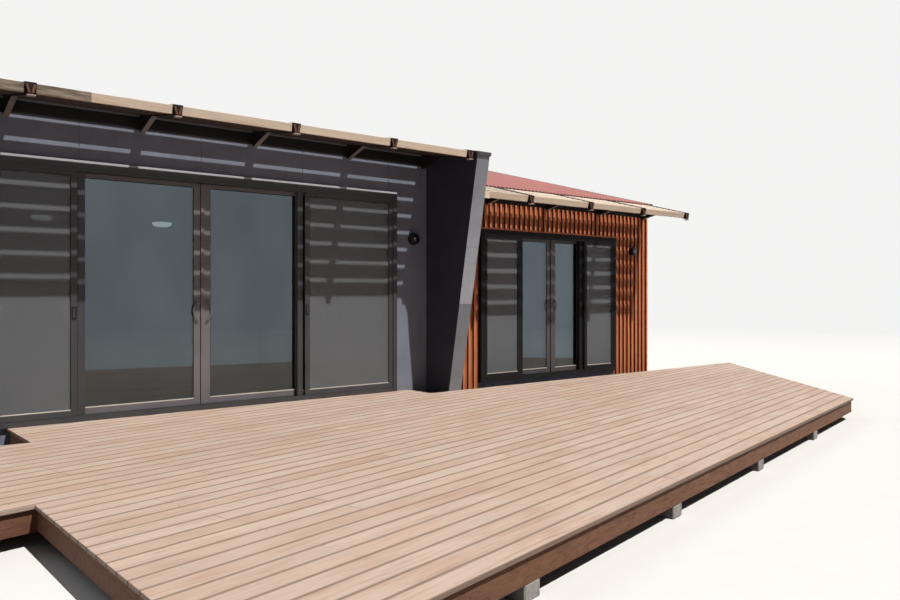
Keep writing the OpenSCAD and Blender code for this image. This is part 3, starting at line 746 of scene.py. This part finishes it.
def roof_screws(module, plane):
    """Rows of screw heads on the ridges."""
    node = f"{module}_roof_sheet"
    low, high = local_box(node)
    left, wave, count = corrugation(node)
    normal = Vector((0, -math.sin(plane[1]), math.cos(plane[1])))
    screws = Maker()
    rows = max(2, round((high.y - low.y) / ROW_PITCH))
    for row in range(rows + 1):
        y = low.y + ROW_INSET + (high.y - low.y - 2 * ROW_INSET) * row / rows
        for i in range(1, count, HEAD_EVERY):
            at = Vector((left + i * wave, y, roof_z(y, plane)))
            screws.round_bar(*(at - normal * under for under in HEAD_SPAN), HEAD_R, 8)
    screws.make(f"{module}_roof_screws", f"{module}_roof", "roof_sheet")


def purlins():
    """Flat purlins, black as painted shade, that carry the side module's sheet above its panel."""
    low, high = local_box("side_roof_sheet")
    bars = Maker()
    for middle in (low.y + ROW_INSET, (low.y + high.y) / 2, high.y - ROW_INSET):
        y0, y1 = middle - PURLIN_HALF, middle + PURLIN_HALF
        bars.along_x(low.x + PURLIN_SHORT, high.x - PURLIN_SHORT, [
            (y0, roof_z(y0, SIDE_ROOF) - SHEET_T), (y1, roof_z(y1, SIDE_ROOF) - SHEET_T),
            (y1, roof_z(y1, SIDE_SHEET) - PURLIN_TOP), (y0, roof_z(y0, SIDE_SHEET) - PURLIN_TOP)])
    bars.make("side_roof_purlins", "fascia", "roof_sheet")


FOLD_T = 0.002
FOLD_GAP = 0.0003
FOLD_BEVEL = 0.0005
BACK_W = 0.14
BACK_DROP = 0.11
BARGE_W = 0.07
BARGE_DROP = 0.06
APRON_W = 0.09
APRON_END = ((3.2, 0.055), (3.6, 0.015))
CLOSURE_H = 0.032
CLOSURE_DROP = 0.002


def flashings():
    """Folded flashings at the roofs' back edges, the side roof's open edge and the wall beside it."""
    back = Maker()
    for module, plane in SHEETS.items():
        low, high = local_box(f"{module}_roof_sheet")
        y0, y1, face = high.y - BACK_W, high.y + FOLD_T, high.y + FOLD_GAP
        z0, z1, edge = roof_z(y0, plane), roof_z(y1, plane), roof_z(high.y, plane)
        back.along_x(low.x, high.x, [(y0, z0), (y1, z1), (y1, z1 + FOLD_T), (y0, z0 + FOLD_T)])
        back.along_x(low.x, high.x, [(face, edge - BACK_DROP), (y1, edge - BACK_DROP - 0.01), (y1, edge - HAIR),
                                     (face, edge - HAIR)])
    back.make("roof_back_flashings", "flashing", "roof_sheet", bevel=FOLD_BEVEL)

    low, high = local_box("side_roof_sheet")
    barge = Maker()
    edge = [(y, roof_z(y, SIDE_SHEET)) for y in (low.y, high.y - BACK_W - 0.005)]
    barge.band(high.x - BARGE_W, high.x, [(y, z + FOLD_GAP, z + FOLD_T) for y, z in edge])
    barge.band(high.x - FOLD_T, high.x - 0.0001, [(y, z - BARGE_DROP, z) for y, z in edge])
    barge.make("side_roof_barge", "flashing", "roof_sheet", bevel=FOLD_BEVEL)

    # A black closure under the side sheet's front edge: painted shade under the waves.
    closure = Maker()
    crest = roof_z(low.y, SIDE_SHEET)
    under = [(x, crest - drop) for x, drop in wave_columns("side_roof_sheet", CLOSURE_DROP)]
    closure.along_y(low.y - 0.001, low.y + 0.01, under + [(x, crest - CLOSURE_H) for x, _ in reversed(under)])
    closure.make("side_roof_front_closure", "fascia", "roof_sheet")

    apron = Maker()
    wall = MAIN_HALF + FIN_T
    edge = [(y, roof_z(y, SIDE_SHEET), rise) for y, rise in ((low.y, 0.06), *APRON_END)]
    apron.band(low.x, low.x + APRON_W, [(y, z + FOLD_GAP, z + FOLD_T) for y, z, _ in edge])
    apron.band(wall + HAIR, wall + FOLD_T, [(y, z - 0.01, z + rise) for y, z, rise in edge])
    apron.make("side_roof_apron", "flashing", "roof_sheet", bevel=FOLD_BEVEL)


# Battens of the side module

SLIM_W = 0.038
BACKING_T = 0.014
BACKING_PAST = 0.04
BATTEN_BEVEL = 0.003


def battens():
    """Slim battens in the places of the batten nodes, over a timber backing."""
    boards = Maker()
    for part, wall in (("left", "front_wall_left"), ("right", "front_wall_right"), ("header", "front_header")):
        node = f"side_battens_{part}"
        low, high = local_box(node)
        wall_low, wall_high = local_box(f"side_{wall}")
        boards.box((wall_low.x + 0.001, high.y - BACKING_T, low.z + 0.001),
                   (wall_high.x - 0.001, high.y - 0.0002, high.z - 0.001))
        slim = Maker()
        for first, last in solids(node):
            x = (first.x + last.x) / 2
            slim.box((x - SLIM_W / 2, first.y, first.z), (x + SLIM_W / 2, last.y, last.z))
        slim.make(f"cedar_battens_{part}", "batten", "batten_timber", replaces=[node], bevel=BATTEN_BEVEL)
    low, high = local_box("side_battens_end")
    top = (high.z - high.y * math.tan(SIDE_ROOF[1]), SIDE_ROOF[1])
    y0 = low.y - BACKING_PAST
    boards.along_x(low.x + 0.0002, low.x + BACKING_T,
                   [(y0, low.z), (high.y, low.z), (high.y, high.z), (y0, roof_z(y0, top))])
    slim = Maker()
    for first, last in sorted(solids("side_battens_end"), key=lambda box: box[0].y):
        y0 = (first.y + last.y - SLIM_W) / 2
        y1 = y0 + SLIM_W
        slim.along_x(first.x, last.x,
                     [(y0, first.z), (y1, first.z), (y1, roof_z(y1, top)), (y0, roof_z(y0, top))])
    slim.make("cedar_battens_end", "batten", "batten_timber", replaces=["side_battens_end"], bevel=BATTEN_BEVEL)
    boards.make("cedar_backing", "backing", "batten_timber")


# Eaves

FLANGE_HALF = 0.026
# Each web's middle at its top and its foot, and its width
TIP_WEBS = ((-0.032, -0.013, 0.017), (0.03, 0.013, 0.019))
WEB_TOP = 0.018
WEB_FOOT = 0.012
FASCIA_PAST = 0.024
FASCIA_LOW = 2.883
FASCIA_TOP = 3.012
FASCIA_T = 0.004
STRIP_TOP = 3.038
STRIP_T = 0.009
STRIP_SCREW_R = 0.009
STRIP_SCREW_END = 0.02


def eave_details(module, plane):
    """Flanges on the gussets' front edges and lips at the arms' tips, both painted light, and webs at the arms'
    tips.
    """
    webs, flanges, lips = Maker(), Maker(), Maker()
    depth = eave_depth(plane)
    front_y, front_z = -GUSSET_L, roof_z(-GUSSET_L, plane) - depth
    back_z = plane[0] - depth - GUSSET_H
    for low, high in solids(f"{module}_eave_arms")[1 if module == "side" else 0:]:
        x = (low.x + high.x) / 2
        tip = low.y
        tip_top = roof_z(tip, plane) + ARM_RIM
        tip_low = roof_z(tip, plane) - depth
        if x < MAIN_HALF - GUSSET_L or x > MAIN_HALF + FIN_T + GUSSET_L:
            flanges.along_x(x - FLANGE_HALF, x + FLANGE_HALF, [
                (front_y - 0.006, front_z - 0.001), (-0.007, back_z - 0.001),
                (0.0, back_z - 0.004), (front_y + 0.004, front_z - 0.004)])
        for x_top, x_low, width in TIP_WEBS:
            webs.along_y(tip - 0.003, tip + 0.001, [
                (x + x_top - width / 2, tip_top - WEB_TOP), (x + x_top + width / 2, tip_top - WEB_TOP),
                (x + x_low + width / 2, tip_low + WEB_FOOT), (x + x_low - width / 2, tip_low + WEB_FOOT)])
        lips.box((x - 0.03, tip - 0.004, tip_low - 0.012), (x + 0.036, tip + 0.05, tip_low - 0.001))
    webs.make(f"{module}_arm_tip_webs", "rust", "arm_steel", bevel=FINE)
    flanges.make(f"{module}_gusset_flanges", "flange", "arm_steel", bevel=FINE)
    lips.make(f"{module}_arm_lips", "lip", "arm_steel", bevel=FINE)


def fascia():
    """Fascia plates between the arms, black as painted shade under the eave, with a folded strip over them and
    its screws.
    """
    plates, strips, screws = Maker(), Maker(), Maker()
    centres = [(low.x + high.x) / 2 for low, high in solids("main_eave_arms")]
    for left, right in zip(centres, centres[1:]):
        x0, x1 = left + FASCIA_PAST, right - FASCIA_PAST
        plates.box((x0, -FASCIA_T, FASCIA_LOW), (x1, 0.0, FASCIA_TOP))
        strips.box((x0, -STRIP_T, FASCIA_TOP + HAIR), (x1, 0.0, STRIP_TOP))
        z = (FASCIA_TOP + STRIP_TOP) / 2
        for x in ((x0 + x1) / 2, x1 - STRIP_SCREW_END):
            screws.round_bar((x, 0.001 - STRIP_T, z), (x, -STRIP_T - 0.0015, z), STRIP_SCREW_R, 10)
    plates.make("eave_fascia_plates", "fascia", "cladding", bevel=FINE)
    strips.make("eave_fascia_strips", "strip", "cladding", bevel=FINE)
    screws.make("eave_fascia_screws", "steel", "arm_steel", smooth=ROUND)


def end_board():
    """The side eave's front board, run over the first arm's tip up to the end wall."""
    low, high = solids("side_eave_arms")[0]
    top = [(y, roof_z(y, SIDE_ROOF) + ARM_RIM / 2) for y in (low.y - 0.004, low.y + 0.03)]
    foot = [(y, z - eave_depth(SIDE_ROOF)) for y, z in reversed(top)]
    board = Maker()
    board.along_x(low.x - 0.004, high.x + 0.004, top + foot)
    board.make("side_eave_end_board", "side_slat", "eave_timber", bevel=0.002)


# Raked end walls

EDGE_PROUD = 0.003
EDGE_RETURN = 0.004
EDGE_JOINTS = (1.1, 1.8)
# Tone of each trim length at its foot and its top: the lowest length dark, the middle one light, the top one
# darker towards its top
EDGE_TONES = ((0.15, 0.05), (0.95, 0.85), (0.8, 0.3))
EDGE_SHORT = 0.03
CAP_PAST = 0.012
CAP_BACK = 0.02
# Foot and top from the wall's tip, and how far it stands out
CAP = (-0.036, -0.004, 0.012)
CAP_LINE = (-0.004, 0.001, 0.013)


def rake_y(z):
    """Depth of the end walls' raked front edge at a height."""
    return -FIN_FOOT - z * math.tan(FIN_RAKE)


def fin_edges():
    """Folded grey trim on the raked edge of each end wall, in three lengths, under a drip cap with a pale
    painted highlight on its edge.
    """
    slope = math.tan(MAIN_ROOF[1])
    tip_z = (MAIN_ROOF[0] - FIN_FOOT * slope) / (1 + math.tan(FIN_RAKE) * slope)
    trim, caps, lines = Maker(), Maker(), Maker()
    levels = (GROUND, *EDGE_JOINTS, tip_z - EDGE_SHORT)
    for x0 in (-MAIN_HALF - FIN_T, MAIN_HALF):
        x1 = x0 + FIN_T
        for low, high, tone in zip(levels, levels[1:], EDGE_TONES):
            fronts = [(rake_y(z) - EDGE_PROUD, z) for z in (low + 0.001, high - 0.001)]
            trim.loft([[(x0, y, z), (x1, y, z), (x1, y + EDGE_RETURN, z), (x0, y + EDGE_RETURN, z)]
                       for y, z in fronts], tone)
        front = rake_y(tip_z)
        for maker, (foot, top, proud) in ((caps, CAP), (lines, CAP_LINE)):
            maker.box((x0 - CAP_PAST, front - proud, tip_z + foot),
                      (x1 + CAP_PAST, front + CAP_BACK, tip_z + top))
    trim.make("end_wall_edge_trim", "fin_edge", "cladding", bevel=FINE)
    caps.make("end_wall_cap_drips", "cap", "cladding", bevel=FINE)
    # A pale line along each cap's front edge: a painted highlight.
    lines.make("end_wall_cap_edges", "lip", "cladding")


# Doors

GASKET_W = 0.007
GASKET_PROUD = 0.004
HEAD_TRIM_H = 0.022


def glazing(module, kind, side, glass_node, body):
    """Black gaskets round both faces of a glass node's panes, and pale beads along their bottoms."""
    ring, bead = Maker(), Maker()
    for low, high in solids(glass_node):
        for y0, y1 in ((low.y - GASKET_PROUD, low.y + HAIR), (high.y - HAIR, high.y + GASKET_PROUD)):
            ring.frame((low.x, low.z), (high.x, high.z), GASKET_W, y0, y1)
        bead.box((low.x + 0.001, low.y - 0.0075, low.z), (high.x - 0.001, low.y - HAIR, low.z + 0.011))
    ring.make(f"{module}_{kind}_gaskets{side}", "rubber", "door_aluminium", body, bevel=FINE)
    bead.make(f"{module}_{kind}_beads{side}", "bead", "door_aluminium", body, bevel=FINE)


BAR_W = 0.06
GRIP_T = 0.005
GRIP_Z = 1.044
GRIP_HALF = 0.045
PULL_BAR = 0.011
PULL_ASIDE = 0.012
PULL_PAST = 0.015
BEAD_H = 0.01
SPLINE_W = 0.005
MESH_HALF = 0.0006


def screen(node, recipe, right_hand):
    """An insect screen: mitred bars, the mesh held by a spline, and a small grip."""
    body = f"{node}_slider"
    low, high = local_box(node)
    front = low.y + GRIP_T
    middle = (front + high.y) / 2
    left, foot, right, head = low.x + BAR_W, low.z + BAR_W, high.x - BAR_W, high.z - BAR_W
    grip = low.x + BAR_W / 3 if right_hand else high.x - 2 * BAR_W / 3
    grip_end = grip + BAR_W / 3
    bars = Maker()
    bars.frame((low.x, low.z), (high.x, high.z), BAR_W, front, high.y)
    bars.box((grip, low.y, GRIP_Z - GRIP_HALF), (grip_end, front, GRIP_Z + GRIP_HALF))
    bars.make(f"{node}_bars", recipe, "screen_frame", body, [node], bevel=0.0015)
    past = GRIP_HALF + PULL_PAST
    pull = Maker()
    pull.frame((grip - PULL_ASIDE, GRIP_Z - past), (grip_end + PULL_ASIDE, GRIP_Z + past), PULL_BAR,
               low.y, front + 0.001)
    pull.make(f"{node}_pull", "black", "screen_frame", body, bevel=FINE)
    bead = Maker()
    bead.box((left, front + 0.002, foot - 0.001), (right, front + 0.007, foot - 0.001 + BEAD_H))
    bead.make(f"{node}_bead", "bead", "screen_frame", body, bevel=FINE)
    spline = Maker()
    spline.frame((left, foot), (right, head), SPLINE_W, middle - 0.002, middle + 0.004)
    spline.make(f"{node}_spline", "rubber", "screen_frame", body)
    mesh = Maker()
    mesh.box((left, middle - MESH_HALF, foot), (right, middle + MESH_HALF, head))
    mesh.make(f"{node}_mesh", "mesh", "screen_frame", body)


def head_trim(module, recipe, slot):
    """A folded trim over the door's head."""
    low, high = local_box(f"{module}_door_frame")
    trim = Maker()
    foot, top = high.z + HAIR, high.z + HEAD_TRIM_H
    trim.along_x(low.x, high.x,
                 [(-HAIR, foot), (low.y + 0.002, foot), (low.y + 0.004, top), (-HAIR, top + 0.004)])
    trim.make(f"{module}_door_head_trim", recipe, slot, bevel=FINE)


def doors():
    for module, recipe, slot in (("main", "head_trim", "door_aluminium"), ("side", "batten", "batten_timber")):
        head_trim(module, recipe, slot)
        glazing(module, "fixed", "", f"{module}_fixed_glass", CABIN)
        for side in ("_left", "_right"):
            glazing(module, "leaf", side, f"{module}_sliding_glass{side}", f"{module}_sliding_door{side}")
            screen(f"{module}_screen{side}", f"{module}_frame", side == "_right")


# Wall lights

LIGHT_SHARE = 0.55
LIGHT_BODY = [(0.078, 0.0), (0.078, 0.012), (0.07, 0.014), (0.07, 0.052), (0.067, 0.062), (0.06, 0.068),
              (0.054, 0.069)]
LIGHT_LENS = [(0.053, 0.06), (0.036, 0.062), (0.033, 0.068), (0.024, 0.075), (0.012, 0.079), (0.0, 0.08)]


def lights():
    """Round lights: one on each side of the main door, one beyond the side door."""
    low, high = local_box("wall_lights")
    z = (low.z + high.z) / 2
    door_end = local_box("main_door_frame")[1].x
    side_end = local_box("side_door_frame")[1].x
    corner = local_box("side_corner_board")[1].x
    beside = door_end + LIGHT_SHARE * (MAIN_HALF - door_end)
    forward = Vector((0, -1, 0)).to_track_quat("Z", "Y")
    bodies, lenses = Maker(), Maker()
    for x in (-beside, beside, (side_end + corner) / 2):
        bodies.lathe((x, 0, z), forward, LIGHT_BODY)
        lenses.lathe((x, 0, z), forward, LIGHT_LENS)
    bodies.make("wall_light_bodies", "black", "light_body", replaces=["wall_lights"], smooth=ROUND)
    lenses.make("wall_light_lenses", "lamp_glass", "light_body", smooth=ROUND)


# Inside

LINING_T = 0.012
LINING_FOOT = 0.01
PENDANTS = ((-0.66, 3.8, 2.3), (0.99, 3.8, 2.3))
PENDANT_BODY = [(0.02, 0.0), (0.12, 0.006), (0.14, 0.02), (0.14, 0.043)]
PENDANT_DISC = [(0.138, -0.001), (0.137, 0.02), (0.125, 0.042), (0.085, 0.06), (0.0, 0.068)]
PENDANT_H = 0.045
STEM_R = 0.004
FLOOR_SEED = 5
PLANK_W = 0.18
PLANK_GAP = 0.002
PLANK_T = 0.008
FLOOR_END = 0.8


def ceiling_z(y, plane, gap):
    """Height at a gap under a roof panel's lower face."""
    return roof_z(y, plane) - ROOF_T - SHEET_T - gap


def room_lining(module, x0, y0, x1, y1, plane):
    """Lining boards on a room's walls and under its roof, open at the door."""
    foot, inner_x0, inner_x1, inner_y = LINING_FOOT, x0 + LINING_T, x1 - LINING_T, y1 - LINING_T
    front, back, inner_z = (ceiling_z(y, plane, 0.002) for y in (y0, y1, inner_y))
    lining = Maker()
    for left, right in ((x0, inner_x0), (inner_x1, x1)):
        lining.along_x(left, right, [(y0, foot), (y1, foot), (y1, back), (y0, front)])
    lining.along_x(inner_x0, inner_x1, [(inner_y, foot), (y1, foot), (y1, back), (inner_y, inner_z)])
    lining.along_x(inner_x0, inner_x1, [(y0, front - LINING_T), (inner_y, inner_z - LINING_T),
                                        (inner_y, inner_z), (y0, front)])
    door_low, door_high = local_box(f"{module}_door_frame")
    for left, right, low in ((inner_x0, door_low.x, foot), (door_high.x, inner_x1, foot),
                             (door_low.x, door_high.x, door_high.z)):
        lining.box((left, y0, low), (right, y0 + LINING_T, front - LINING_T))
    lining.make(f"{module}_room_lining", "lining", "floor")


def floor_boards(module, x0, y0, x1, y1):
    """A room's floor boards, each row in two lengths."""
    rng = random.Random(FLOOR_SEED)
    floor = Maker()
    y = y0
    while y < y1 - PLANK_W / 3:
        split = rng.uniform(x0 + FLOOR_END, x1 - FLOOR_END)
        for left, right in ((x0, split - PLANK_GAP / 2), (split + PLANK_GAP / 2, x1)):
            floor.box((left, y, 0.0), (right, min(y + PLANK_W - PLANK_GAP, y1), PLANK_T), rng.random())
        y += PLANK_W
    floor.make(f"{module}_room_floor", "floor", "floor", bevel=FINE)


def pendants():
    """Two flat round lamps that hang in the main room."""
    bodies, discs, stems = Maker(), Maker(), Maker()
    down = Vector((0, 0, -1)).to_track_quat("Z", "Y")
    for x, y, z in PENDANTS:
        bodies.lathe((x, y, z + PENDANT_H), down, PENDANT_BODY)
        discs.lathe((x, y, z), down, PENDANT_DISC)
        stems.round_bar((x, y, z + PENDANT_H - 0.001), (x, y, ceiling_z(y, MAIN_ROOF, 0.016)), STEM_R)
    bodies.make("pendant_bodies", "black", "light_body", smooth=ROUND)
    discs.make("pendant_discs", "lamp_disc", "light_body", smooth=ROUND)
    stems.make("pendant_stems", "black", "light_body", smooth=ROUND)


def rooms():
    x, y = MAIN_HALF - LINING_T, MAIN_DEPTH - WALL_T
    room_lining("main", -MAIN_HALF, WALL_T, MAIN_HALF, y, MAIN_ROOF)
    floor_boards("main", -x, local_box("main_door_frame")[1].y, x, y - LINING_T)
    low, high = local_box("side_floor")
    x, y = high.x - WALL_T, high.y - WALL_T
    room_lining("side", low.x, low.y + WALL_T, x, y, SIDE_ROOF)
    floor_boards("side", low.x + LINING_T, low.y + WALL_T, x - LINING_T, y - LINING_T)


# Floor, light and camera

PALE = (0.9, 0.9, 0.895)
FLOOR_COLOUR = (0.78, 0.78, 0.775)
BOUNCE_COLOUR = (0.15, 0.14, 0.135)
FLOOR_FADE = (11.0, 26.0)
FLOOR_RADIUS = 120.0


def stage():
    """A pale floor that fades into the background."""
    bm = bmesh.new()
    bmesh.ops.create_circle(bm, cap_ends=True, segments=64, radius=FLOOR_RADIUS)
    mesh = bpy.data.meshes.new("studio_floor")
    bm.to_mesh(mesh)
    bm.free()
    r = Recipe("studio_floor", 0.9, specular=0.1)
    path = r.add("LightPath").outputs
    seen = r.math("MAXIMUM", path["Is Camera Ray"], path["Is Glossy Ray"])
    grain = r.noise(r.place(), 6.0, 2.0)
    r.colour(r.mix(seen, BOUNCE_COLOUR, r.ramp(grain, (0.3, scaled(FLOOR_COLOUR, 0.985)), (0.7, FLOOR_COLOUR))))
    distance = r.add("VectorMath", {0: r.place()}, operation="LENGTH").outputs["Value"]
    far = r.math("MULTIPLY", r.span(distance, 0.0, 1.0, *FLOOR_FADE), seen)
    r.cover(far, r.shader, r.add("Emission", {"Color": PALE}))
    mesh.materials.append(r.material)
    added("studio_floor", mesh)


FILL = 0.06
FILL_COLOUR = (0.93, 0.96, 1.0)
# Each lamp's strength, softness in degrees, colour and direction
SUNS = {
    "key": (4.1, 0.6, (1.0, 0.965, 0.91), (-0.172, 0.538, -1.0)),
    "back": (1.0, 70, (0.95, 0.97, 1.0), (0.35, -1.0, -0.55)),
}


def light():
    """A plain fill, a key light from high on the right, and a soft one from behind."""
    world = bpy.data.worlds.new("studio")
    bpy.context.scene.world = world
    w = Nodes(world, "OutputWorld")
    path = w.add("LightPath").outputs
    seen = w.math("MAXIMUM", path["Is Camera Ray"], path["Is Glossy Ray"])
    seen = w.math("MAXIMUM", seen, path["Is Transmission Ray"])
    w.cover(seen, w.add("Background", {"Color": FILL_COLOUR, "Strength": FILL}),
            w.add("Background", {"Color": PALE, "Strength": 1.0}))
    for name, (energy, softness, colour, direction) in SUNS.items():
        data = bpy.data.lights.new(name, "SUN")
        data.energy = energy
        data.angle = math.radians(softness)
        data.color = colour
        added(name, data).rotation_euler = Vector(direction).to_track_quat("-Z", "Y").to_euler()


CAMERA_PLACE = Vector((-3.45, -8.2, 1.227))
CAMERA_HEADING = math.radians(49.9)
FOCAL = 800.0
IMAGE_WIDTH = 900.0
SENSOR = 36.0
HORIZON_SHIFT = -6.0


def camera():
    data = bpy.data.cameras.new("camera")
    data.sensor_width = SENSOR
    data.lens = SENSOR * FOCAL / IMAGE_WIDTH
    data.shift_y = HORIZON_SHIFT / IMAGE_WIDTH
    data.clip_end = 400.0
    obj = added("camera", data)
    obj.location = ORIGIN + CAMERA_PLACE
    ahead = Vector((math.cos(CAMERA_HEADING), math.sin(CAMERA_HEADING), 0.0))
    obj.rotation_euler = ahead.to_track_quat("-Z", "Y").to_euler()
    bpy.context.scene.camera = obj


deck()
for module, plane in SHEETS.items():
    corrugated(module, plane)
    roof_screws(module, plane)
purlins()
flashings()
battens()
eave_details("main", MAIN_ROOF)
eave_details("side", SIDE_ROOF)
fascia()
end_board()
fin_edges()
doors()
lights()
rooms()
pendants()
stage()
light()
camera()
bpy.context.scene.view_settings.view_transform = "Standard"
